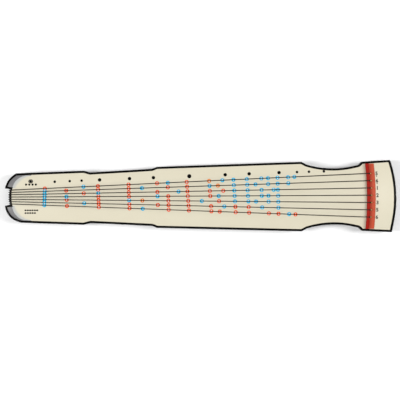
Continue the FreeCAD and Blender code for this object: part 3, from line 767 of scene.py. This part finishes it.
BLUE_PAPER = paper("blue_paper", (0.003, 0.375, 0.60), (0.002, 0.335, 0.55), 0.15)


# ---------------------------------------------------------------- soundbox


def lacquered_sheet(edge_profile):
    """The whole plan of the soundbox as a flat sheet with a rounded border, black outside the rim."""
    bm = bmesh.new()
    rings = []
    for inset, drop in edge_profile:
        points = ring(inset)
        if inset == RIM:
            points = [Vector((p.x - HEAD_RIM_EXTRA, p.y)) if p.x > HEAD_RIM_X else p for p in points]
        rings.append([bm.verts.new((p.x, p.y, -drop)) for p in points])
    for outer, inner in zip(rings, rings[1:]):
        for k in range(len(outer)):
            face = bm.faces.new((outer[k - 1], outer[k], inner[k], inner[k - 1]))
            face.material_index = 1
    bm.faces.new(rings[-1])
    return bm


def hollow_cutter():
    """The space inside the top board, with a ridge hanging over each sound hole."""
    bm = bmesh.new()
    bm.faces.new([bm.verts.new((p.x, p.y, 0)) for p in ring(WALL)])
    for x, direction in zip(HOLLOW_X, (-1, 1)):
        geometry = list(bm.verts) + list(bm.edges) + list(bm.faces)
        place, normal = (x, 0, 0), (direction, 0, 0)
        bmesh.ops.bisect_plane(bm, geom=geometry, plane_co=place, plane_no=normal, clear_outer=True)
    grid_cut(bm, *HOLLOW_GRID)
    for vert in bm.verts:
        x, y = vert.co.x, vert.co.y
        ceiling = top_height(x, y) - TOP_THICKNESS
        for centre_x, length, width in SOUND_HOLES:
            over_x = (length / 2 + RIDGE_OVERHANG - abs(x - centre_x)) / RIDGE_SLOPE
            over_y = (width / 2 + RIDGE_OVERHANG - abs(y)) / RIDGE_SLOPE
            share = max(0.0, min(1.0, over_x, over_y))
            ridge = crown(centre_x) - TOP_THICKNESS - RIDGE_DROP
            blend = share * share * (3 - 2 * share)
            ceiling += (ridge - ceiling) * blend
        vert.co.z = ceiling
    drop_skirt(bm, SEAM - HOLLOW_REACH)
    return new_piece(bm, "cutter", FIR)


def make_top_board():
    bm = lacquered_sheet(TOP_EDGE)
    grid_cut(bm, *BOARD_GRID)
    for vert in bm.verts:
        vert.co.z += top_height(vert.co.x, vert.co.y)
    side = set(bm.faces)
    drop_skirt(bm, SEAM)
    for face in bm.faces:
        if face not in side:
            face.material_index = 1
    board = new_piece(bm, "lacquered_top_board", CREAM, BLACK)
    pool = block(*POOL_X, -POOL_HALF_LENGTH, POOL_HALF_LENGTH, SEAM - POOL_REACH, PLATE_TOP, BLACK)
    holes = [upright_prism(circle(*hole(i), HOLE_RADIUS), SEAM, CUT_TOP, FIR) for i in range(STRINGS)]
    cut_away(board, [hollow_cutter(), pool, *holes])
    smooth(board)
    finish_piece(board, "body", "cream_lacquer", "top_board")


def make_bottom_board():
    bm = lacquered_sheet(LOWER_EDGE)
    for vert in bm.verts:
        vert.co.z = BODY_BOTTOM - vert.co.z
    for face in bm.faces:
        face.material_index = 0
    drop_skirt(bm, SEAM)
    board = new_piece(bm, "lacquered_bottom_board", BLACK)
    levels = CUT_BOTTOM, SEAM + HOLE_REACH
    cutters = [block(*POOL_X, -POOL_HALF_LENGTH, POOL_HALF_LENGTH, *levels, BLACK)]
    cutters += [upright_prism(slot_points(*h), *levels, FIR) for h in SOUND_HOLES]
    cut_away(board, cutters)
    smooth(board)
    finish_piece(board, "body", "black_lacquer", "bottom_board")


# ---------------------------------------------------------------- bridge end


def swept(profile, stations, grooves=()):
    """The (x, z) profile carried along the bowed and arched bridge line, with a groove at each y given."""
    bm = bmesh.new()
    base = crown(CROWN_X)
    crest = max(z for x, z in profile)
    rows = []
    for k in range(stations + 1):
        y = BRIDGE_HALF_LENGTH * (2 * k / stations - 1)
        dip = sum(GROOVE_DEPTH * math.exp(-(((y - groove) / GROOVE_WIDTH) ** 2)) for groove in grooves)
        row = []
        for x, z in profile:
            near_crest = max(0.0, 1 - (crest - z) / GROOVE_FADE)
            row.append(bm.verts.new((x + bow(y), y, base + z - arch_drop(y) - dip * near_crest)))
        rows.append(row)
    for first, second in zip(rows, rows[1:]):
        for k in range(len(profile)):
            bm.faces.new((first[k - 1], first[k], second[k], second[k - 1]))
    bm.faces.new(rows[0])
    bm.faces.new(rows[-1])
    return bm


def make_bridge():
    tail, head, top = BRIDGE_TAIL_SIDE, BRIDGE_HEAD_SIDE, BRIDGE_HEIGHT
    profile = [
        (tail, -INLAY_DEPTH),
        (tail, top - 3.0),
        (tail + 0.3, top - 2.0),
        (tail + 0.9, top - 1.2),
        (tail + 1.6, top - 0.6),
        (tail + 2.6, top - 0.2),
        (CROWN_X, top),
        (CROWN_X + 0.9, top - 0.25),
        (CROWN_X + 1.7, top - 0.9),
        (head - 1.3, top - 1.8),
        (head - 0.7, top - 2.9),
        (head - 0.2, top - 4.3),
        (head, top - 6.0),
        (head, -INLAY_DEPTH),
    ]
    grooves = [bridge_y(i) for i in range(STRINGS)]
    bridge = new_piece(swept(profile, BRIDGE_STATIONS, grooves), "lacquered_bridge", DARK_RED)
    smooth(bridge, 50)
    finish_piece(bridge, "body", "dark_red_lacquer", "bridge")


def make_strip():
    head, end, top = BRIDGE_HEAD_SIDE, STRIP_END, STRIP_PROUD
    profile = [
        (head + 0.1, -INLAY_DEPTH),
        (head + 0.1, top - 0.4),
        (head + 0.5, top),
        (end - 1.4, top),
        (end - 0.6, top - 0.25),
        (end - 0.15, top - 0.8),
        (end, top - 1.5),
        (end, -INLAY_DEPTH),
    ]
    strip = new_piece(swept(profile, STRIP_STATIONS), "lacquered_string_hole_strip", LIGHT_RED)
    holes = [upright_prism(circle(*hole(i), HOLE_RADIUS), SEAM, CUT_TOP, LIGHT_RED) for i in range(STRINGS)]
    cut_away(strip, holes)
    smooth(strip, 30)
    finish_piece(strip, "body", "light_red_lacquer", "string_hole_strip")


# ---------------------------------------------------------------- tail


def circle_through(a, b, c):
    """Centre and radius of the circle through three points."""
    a, b, c = Vector(a), Vector(b), Vector(c)
    u, v = b - a, c - a
    cross = 2 * u.cross(v)
    x = (v.y * u.length_squared - u.y * v.length_squared) / cross
    y = (u.x * v.length_squared - v.x * u.length_squared) / cross
    return a + Vector((x, y)), math.hypot(x, y)


def reach_to_circle(start, direction, points):
    """How far from start the ray leaves the circle through the three points."""
    centre, radius = circle_through(*points)
    offset = start - centre
    along = offset.dot(direction)
    return -along + math.sqrt(along**2 - offset.length_squared + radius**2)


def reach_to_ring(start, direction, points):
    """How far from start the ray crosses the closed line of points."""
    reaches = []
    for k in range(len(points)):
        first, second = points[k - 1] - start, points[k] - start
        side_first, side_second = direction.cross(first), direction.cross(second)
        if side_first * side_second < 0:
            crossing = first.lerp(second, side_first / (side_first - side_second))
            reaches.append(crossing.dot(direction))
    return min(reach for reach in reaches if reach > 0)


def corner_profile(rim, edge, lip, high):
    """One section of a tail corner, from the rim inwards: reach, height over the face and share of the
    painted highlight.
    """
    columns = [
        (rim, -CORNER_ROOT, 0),
        (rim, high * 0.4, 0),
        (rim - 0.25, high * 0.75, 0),
        (rim - 0.7, high, 0),
        (edge + 0.5, high, 0),
        (edge, high - 0.1, 0),
    ]
    for t in BEVEL_SHARES:
        drop = (high - 0.15) * t * t * (3 - 2 * t)
        # Down the bevel the painted highlight grows towards the lip.
        columns.append((edge + (lip - edge) * t, high - 0.1 - drop, t * t))
    columns.append((lip, -CORNER_ROOT, 1))
    return columns


def make_tail_corner(side, name):
    """A dark crescent raised inside the rim, and a bevel that runs down from it, painted with a highlight
    that pales into the face.
    """
    rim_points = [Vector((p.x, side * p.y)) for p in ring(RIM + CORNER_GAP)]
    start = Vector((CORNER_START_X, NOTCH[0][1] + side * NOTCH_SHIFT + BESIDE_NOTCH))
    bm = bmesh.new()
    # Share of the painted highlight at each vertex, read by the bevel's lacquer.
    highlight_fade = bm.verts.layers.float.new("highlight_fade")
    rows = []
    for k in range(CORNER_STEPS + 1):
        angle = math.radians(180 - 90 * k / CORNER_STEPS)
        direction = Vector((math.cos(angle), math.sin(angle)))
        rim = reach_to_ring(start, direction, rim_points)
        edge = reach_to_circle(start, direction, CORNER_EDGE)
        high = CORNER_HEIGHT * max(CORNER_LEAST_SHARE, min(1.0, (rim - edge) / FULL_HEIGHT_WIDTH))
        edge = min(edge, rim - LEAST_WIDTH)
        lip = min(reach_to_circle(start, direction, CORNER_LIP), edge - LEAST_BEVEL)
        lip = edge + (lip - edge) * (1 - LIP_TAPER * (k / CORNER_STEPS) ** 4)
        row = []
        for reach, height, highlight_amount in corner_profile(rim, edge, lip, high):
            x, y = start + direction * reach
            vert = bm.verts.new((x, side * y, top_height(x, y) + height))
            vert[highlight_fade] = highlight_amount
            row.append(vert)
        rows.append(row)
    for first, second in zip(rows, rows[1:]):
        for k in range(len(first)):
            face = bm.faces.new((first[k - 1], first[k], second[k], second[k - 1]))
            # The bevel's faces take the lacquer with the painted highlight.
            face.material_index = 1 if k >= RAISED_COLUMNS else 0
    bm.faces.new(rows[0])
    bm.faces.new(rows[-1])
    corner = new_piece(bm, f"raised_{name}", GREY, BEVEL_HIGHLIGHT_GREY)
    smooth(corner, 50)
    finish_piece(corner, "body", "grey_lacquer", name)


def string_tube(i):
    """One string, from its knot over the bridge and nut and under the tail to its foot."""
    bm = bmesh.new()
    points, bends = string_route(i)
    tube(bm, bent_path(points, bends, 10), STRING_RADIUS[i], 14)
    string = new_piece(bm, f"wound_string_{i + 1}", WOUND_SILK)
    smooth(string, 60)
    finish_piece(string, "body", "wound_silk", f"string_{i + 1}")


def trefoil(centre, size, steps=72):
    """The centre line of an overhand knot pulled into a ball."""
    points = []
    for k in range(steps + 1):
        t = 2 * math.pi * k / steps
        x = math.sin(t) + 2 * math.sin(2 * t)
        y = math.cos(t) - 2 * math.cos(2 * t)
        points.append(centre + Vector((x, y, -math.sin(3 * t) * 1.5)) * size / 3)
    return points


def make_knots():
    bm = bmesh.new()
    for i in range(STRINGS):
        x, y = hole(i)
        centre = Vector((x - KNOT_BACK, y, bridge_top(y) + KNOT_RISE))
        tube(bm, trefoil(centre, KNOT_SIZE), KNOT_STRAND, 8)
    knots = new_piece(bm, "tied_string_knots", WOUND_SILK)
    smooth(knots, 60)
    finish_piece(knots, "body", "wound_silk", "string_knots")


def make_silk_loop(i):
    x, y = hole(i)
    top = bridge_top(y)
    start = Vector((x - KNOT_BACK + KNOT_RADIUS - LOOP_IN_KNOT, y, top + LOOP_RISE))
    points = [start, Vector((x, y, top - LOOP_TURN_DROP)), Vector((x, y, SIDE_HOLE_Z))]
    bm = bmesh.new()
    twisted(bm, bent_path(points, [LOOP_BEND], 12), LOOP_STRANDS, LOOP_STRAND_RADIUS, LOOP_PITCH)
    loop = new_piece(bm, f"twisted_silk_loop_{i + 1}", TWISTED_SILK)
    smooth(loop, 60)
    finish_piece(loop, "body", "twisted_silk", f"silk_loop_{i + 1}")


def coil(x, y, radius, z0, z1, turns, steps=30):
    """A helix about an upright axis."""
    points = []
    for k in range(int(turns * steps) + 1):
        a = 2 * math.pi * k / steps
        z = z0 + (z1 - z0) * k / (turns * steps)
        points.append(Vector((x + radius * math.cos(a), y + radius * math.sin(a), z)))
    return points


def make_peg_wrap(i):
    """The loop's end, turns of thin twisted silk on the peg's neck."""
    low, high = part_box(f"peg_wrap_{i + 1}")
    x, y = (low.x + high.x) / 2 / MM, (low.y + high.y) / 2 / MM
    turns = coil(x, y, WRAP_RADIUS, low.z / MM + WRAP_MARGIN, high.z / MM - WRAP_MARGIN, WRAP_TURNS)
    bm = bmesh.new()
    twisted(bm, turns, LOOP_STRANDS, WRAP_STRAND_RADIUS, WRAP_PITCH, 6)
    wrap = new_piece(bm, f"silk_peg_wrap_{i + 1}", TWISTED_SILK)
    smooth(wrap, 60)
    finish_piece(wrap, f"peg_{i + 1}", "twisted_silk", f"peg_wrap_{i + 1}")


def make_string_ends(side, name):
    """Spare string ends: three layers of turns round the foot's neck."""
    low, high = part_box(name)
    bm = bmesh.new()
    for layer, radius in enumerate(END_LAYERS):
        inside = END_MARGIN + END_MARGIN_STEP * layer
        z0, z1 = low.z / MM + inside, high.z / MM - inside
        if layer % 2:
            z0, z1 = z1, z0
        turns = END_TURNS - END_TURNS_STEP * layer
        tube(bm, coil(FOOT_X, side * FOOT_Y, radius, z0, z1, turns), END_RADIUS)
    ends = new_piece(bm, f"wound_{name}", WOUND_SILK)
    smooth(ends, 60)
    finish_piece(ends, "body", "wound_silk", name)


# ---------------------------------------------------------------- print on the board


def digit_shapes(boldness):
    """One small solid for each digit, one unit high, centred on the origin: {digit: (points, faces)}."""
    shapes = {}
    for digit in SCALE.values():
        curve = bpy.data.curves.new("digit", "FONT")
        curve.body = digit
        curve.extrude = FONT_EXTRUDE
        curve.offset = boldness
        curve.resolution_u = FONT_RESOLUTION
        obj = bpy.data.objects.new("digit", curve)
        bpy.context.scene.collection.objects.link(obj)
        bpy.context.view_layer.update()
        mesh = bpy.data.meshes.new_from_object(obj.evaluated_get(bpy.context.evaluated_depsgraph_get()))
        bpy.data.objects.remove(obj)
        points = [v.co.copy() for v in mesh.vertices]
        low = Vector([min(p[axis] for p in points) for axis in range(3)])
        high = Vector([max(p[axis] for p in points) for axis in range(3)])
        scale = 1 / (high.y - low.y)
        centred = [(p - (low + high) / 2) * scale for p in points]
        shapes[digit] = (centred, [list(face.vertices) for face in mesh.polygons])
    return shapes


LABEL_DIGITS = digit_shapes(LABEL_BOLDNESS)
TUNING_DIGITS = digit_shapes(TUNING_BOLDNESS)


def add_digit(bm, shape, place, height, thickness, material_index=0):
    """Adds a digit, printed flat, as a thin closed layer of ink."""
    points, faces = shape
    layer = max(p.z for p in points)
    verts = []
    for p in points:
        flat = Vector((p.x * height, p.y * height, thickness * (0.5 + 0.5 * p.z / layer)))
        verts.append(bm.verts.new(place @ flat))
    for face in faces:
        made = bm.faces.new([verts[k] for k in face])
        made.material_index = material_index


def add_disc(bm, place, radius, thickness, edge=0.06, steps=36, material_index=0):
    """Adds a thin disc with a soft edge."""
    levels = [(radius, 0.0), (radius, thickness - edge), (radius - edge * 2, thickness)]
    rings = []
    for r, z in levels:
        rings.append([bm.verts.new(place @ Vector((x, y, z))) for x, y in circle(0, 0, r, steps)])
    faces = [bm.faces.new(rings[0][::-1]), bm.faces.new(rings[-1])]
    for low, high in zip(rings, rings[1:]):
        faces += [bm.faces.new((low[k - 1], low[k], high[k], high[k - 1])) for k in range(steps)]
    for face in faces:
        face.material_index = material_index


def add_mark(bm, x, y, radius, stretch=1):
    """Adds a round mark of ink on the face, or an oval one stretched along X."""
    place = surface_frame(x, y, INK_LIFT) @ Matrix.Diagonal((stretch, 1, 1, 1))
    add_disc(bm, place, radius, INK_THICKNESS)


def label_place(i, semitones):
    middle = (STRINGS - 1) / 2
    raised = semitones + LABEL_NUDGE.get(semitones, 0)
    column = CROWN_X - string_length() * 2 ** (-raised / 12)
    slant = next(slant for last, slant in LABEL_SLANTS if semitones <= last)
    x = column + slant * (i - middle)
    return x, string_y(i, x)


def scale_digit(i, semitones):
    """The scale's number for a stopped note on string i."""
    pitch = (OPEN_SEMITONES[i] + semitones) % 12
    nearest = min(SCALE, key=lambda step: min(abs(pitch - step), 12 - abs(pitch - step)))
    return SCALE[nearest]


def make_labels(name, notes, material, slot_name):
    bm = bmesh.new()
    for i in range(STRINGS):
        lift = LABEL_GAP + (i % 2) * (LABEL_THICKNESS + LABEL_GAP)
        for semitones in notes[i]:
            place = surface_frame(*label_place(i, semitones), lift)
            tint = 2 if (i, semitones) in ORANGE_NOTES else 0
            add_disc(bm, place, LABEL_RADIUS, LABEL_THICKNESS, material_index=tint)
            top = place @ Matrix.Translation((0, 0, LABEL_THICKNESS))
            add_digit(bm, LABEL_DIGITS[scale_digit(i, semitones)], top, LABEL_DIGIT, LABEL_INK, 1)
    labels = new_piece(bm, f"printed_{name}", material, WHITE_INK, ORANGE_PAPER)
    finish_piece(labels, "body", slot_name, name)


def make_tuning_numbers():
    """The open strings' scale numbers beside the strip. A dot below marks the low octave."""
    bm = bmesh.new()
    for i in range(STRINGS):
        y = bridge_y(i)
        x = TUNING_X + bow(y)
        place = surface_frame(x, y, INK_LIFT)
        add_digit(bm, TUNING_DIGITS[scale_digit(i, 0)], place, TUNING_DIGIT, INK_THICKNESS)
        if i < LOW_OCTAVE_STRINGS:
            add_mark(bm, x, y - OCTAVE_DOT_DROP, OCTAVE_DOT_RADIUS)
    finish_piece(new_piece(bm, "tuning_numbers", INK), "body", "black_inlay")


def make_ornaments():
    """A plain rosette over a row of dots, and two rows of plain oval marks."""
    bm = bmesh.new()
    middle_x, middle_y = ROSETTE
    add_mark(bm, middle_x, middle_y, ROSETTE_RADIUS)
    for k in range(PETALS):
        a = 2 * math.pi * k / PETALS
        x = middle_x + PETAL_RING[0] * math.cos(a)
        y = middle_y + PETAL_RING[1] * math.sin(a)
        add_mark(bm, x, y, PETAL_RADIUS)
    for k in range(ROW_DOTS):
        add_mark(bm, ROW_START[0] + ROW_STEP * k, ROW_START[1], ROW_DOT_RADIUS)
    for count, y in OVAL_ROWS:
        for k in range(count):
            add_mark(bm, OVAL_START_X + OVAL_STEP * k, y, OVAL_RADIUS, OVAL_STRETCH)
    finish_piece(new_piece(bm, "face_ornaments", INK), "body", "black_inlay")


# ---------------------------------------------------------------- CAD nodes with better finishes


def dress_frame():
    dress("tail_nut", BLACKWOOD, 0.4)
    dress("tail_gum", BLACKWOOD, 0.6)
    dress("position_dots", DOT_BLACK)
    dress("large_sound_hole_frame", ROSEWOOD_FLAT, 0.4)
    dress("small_sound_hole_frame", ROSEWOOD_FLAT, 0.4)
    dress("round_sound_post", FIR, 0.5)
    dress("square_sound_post", FIR, 0.5)
    dress("peg_plate", ROSEWOOD_FLAT, 0.4)
    for side in ("far", "near"):
        dress(f"foot_{side}", ROSEWOOD, 0.5)
        dress(f"foot_socket_{side}", ROSEWOOD_FLAT, 0.3)
        dress(f"peg_guard_{side}", ROSEWOOD, 2.0)
    for i in range(STRINGS):
        dress(f"peg_{i + 1}", ROSEWOOD, 0.35)


# ---------------------------------------------------------------- stage


def make_floor():
    bm = bmesh.new()
    bmesh.ops.create_grid(bm, x_segments=2, y_segments=2, size=FLOOR_HALF_SIZE)
    floor = new_piece(bm, "floor", floor_finish())
    floor.location.z = -FLOOR_GAP * MM


def area_light(name, place, size, power):
    light = bpy.data.lights.new(name, "AREA")
    light.shape = "RECTANGLE"
    light.size, light.size_y = size
    light.energy = power
    obj = bpy.data.objects.new(name, light)
    obj.location = place
    obj.rotation_euler = (-Vector(place)).to_track_quat("-Z", "Y").to_euler()
    bpy.context.scene.collection.objects.link(obj)


def make_lights():
    """Soft light from the four sides, and a dimmer even light from all round."""
    world = bpy.data.worlds.new("soft_studio")
    world.use_nodes = True
    background = world.node_tree.nodes["Background"]
    background.inputs["Color"].default_value = (1, 1, 1, 1)
    background.inputs["Strength"].default_value = WORLD_STRENGTH
    bpy.context.scene.world = world
    for light in LIGHTS:
        area_light(*light)
    bpy.context.scene.view_settings.view_transform = "Standard"


def make_camera():
    """Straight above, turned a touch, with the long side filling the frame."""
    camera = bpy.data.cameras.new("camera")
    camera.lens = CAMERA_LENS
    camera.sensor_width = CAMERA_SENSOR
    camera.clip_end = CAMERA_CLIP_END
    obj = bpy.data.objects.new("camera", camera)
    distance = VIEW_WIDTH / CAMERA_SENSOR * CAMERA_LENS
    obj.location = Vector((*CAMERA_OFFSET, CROWN_SHOULDER - FOCUS_DROP + distance)) * MM
    obj.rotation_euler = (0, 0, math.radians(-CAMERA_ROLL))
    bpy.context.scene.collection.objects.link(obj)
    bpy.context.scene.camera = obj


make_top_board()
make_bottom_board()
make_bridge()
make_strip()
make_tail_corner(1, "tail_corner_far")
make_tail_corner(-1, "tail_corner_near")
make_knots()
for number in range(STRINGS):
    string_tube(number)
    make_silk_loop(number)
    make_peg_wrap(number)
make_string_ends(1, "string_ends_far")
make_string_ends(-1, "string_ends_near")
make_labels("note_labels_red", RED_NOTES, RED_PAPER, "red_label")
make_labels("note_labels_blue", BLUE_NOTES, BLUE_PAPER, "blue_label")
make_tuning_numbers()
make_ornaments()
dress_frame()
make_floor()
make_lights()
make_camera()
